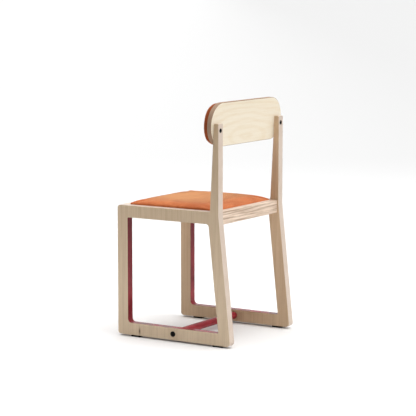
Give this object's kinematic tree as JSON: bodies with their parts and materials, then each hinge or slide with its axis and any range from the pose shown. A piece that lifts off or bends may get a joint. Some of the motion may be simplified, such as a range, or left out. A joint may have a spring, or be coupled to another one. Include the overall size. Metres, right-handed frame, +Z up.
{
  "type": "study chair",
  "caption": "Armless plywood study chair with looped side frames, a red stretcher and an orange drop-in seat and back pad.",
  "frame": {"origin": "floor level, in the middle of the chair's overall width and depth", "axes": "+Z up, -Y the way the sitter faces, +X towards the sitter's left"},
  "size_m": [0.445, 0.435, 0.7861],
  "materials": {
    "birch_ply": "clear matt lacquer on birch plywood, upright face grain, bare ply edges, red lacquer inside the leg loop",
    "pale_ply": "clear matt lacquer on pale plywood with level cathedral grain",
    "streaked_ply": "clear matt lacquer on plywood with strong level streaks",
    "beech": "plain sanded beech",
    "red_lacquer": "satin burgundy lacquer on a turned beech bar",
    "orange_fabric": "plain woven orange upholstery cloth",
    "seat_foam": "soft polyurethane foam",
    "black_steel": "black oxide steel",
    "zinc_steel": "zinc plated steel",
    "black_plastic": "matt black nylon"
  },
  "bodies": {
    "root": {"left_side_frame": "birch_ply", "right_side_frame": "birch_ply", "front_seat_rail": "streaked_ply", "rear_seat_rail": "streaked_ply", "front_rail_dowels": "beech", "rear_rail_dowels": "beech", "front_left_corner_block": "beech", "front_right_corner_block": "beech", "rear_left_corner_block": "beech", "rear_right_corner_block": "beech", "corner_block_screws": "zinc_steel", "seat_fixing_screws": "zinc_steel", "seat_board": "birch_ply", "seat_foam": "seat_foam", "seat_cover": "orange_fabric", "stretcher_dowel": "red_lacquer", "stretcher_inserts": "zinc_steel", "stretcher_bolts": "black_steel", "back_panel": "pale_ply", "back_inserts": "zinc_steel", "back_bolts": "black_steel", "back_pad_board": "birch_ply", "back_foam": "seat_foam", "back_cover": "orange_fabric", "front_left_glide": "black_plastic", "front_right_glide": "black_plastic", "rear_left_glide": "black_plastic", "rear_right_glide": "black_plastic", "glide_screws": "zinc_steel"}
  },
  "joints": []
}
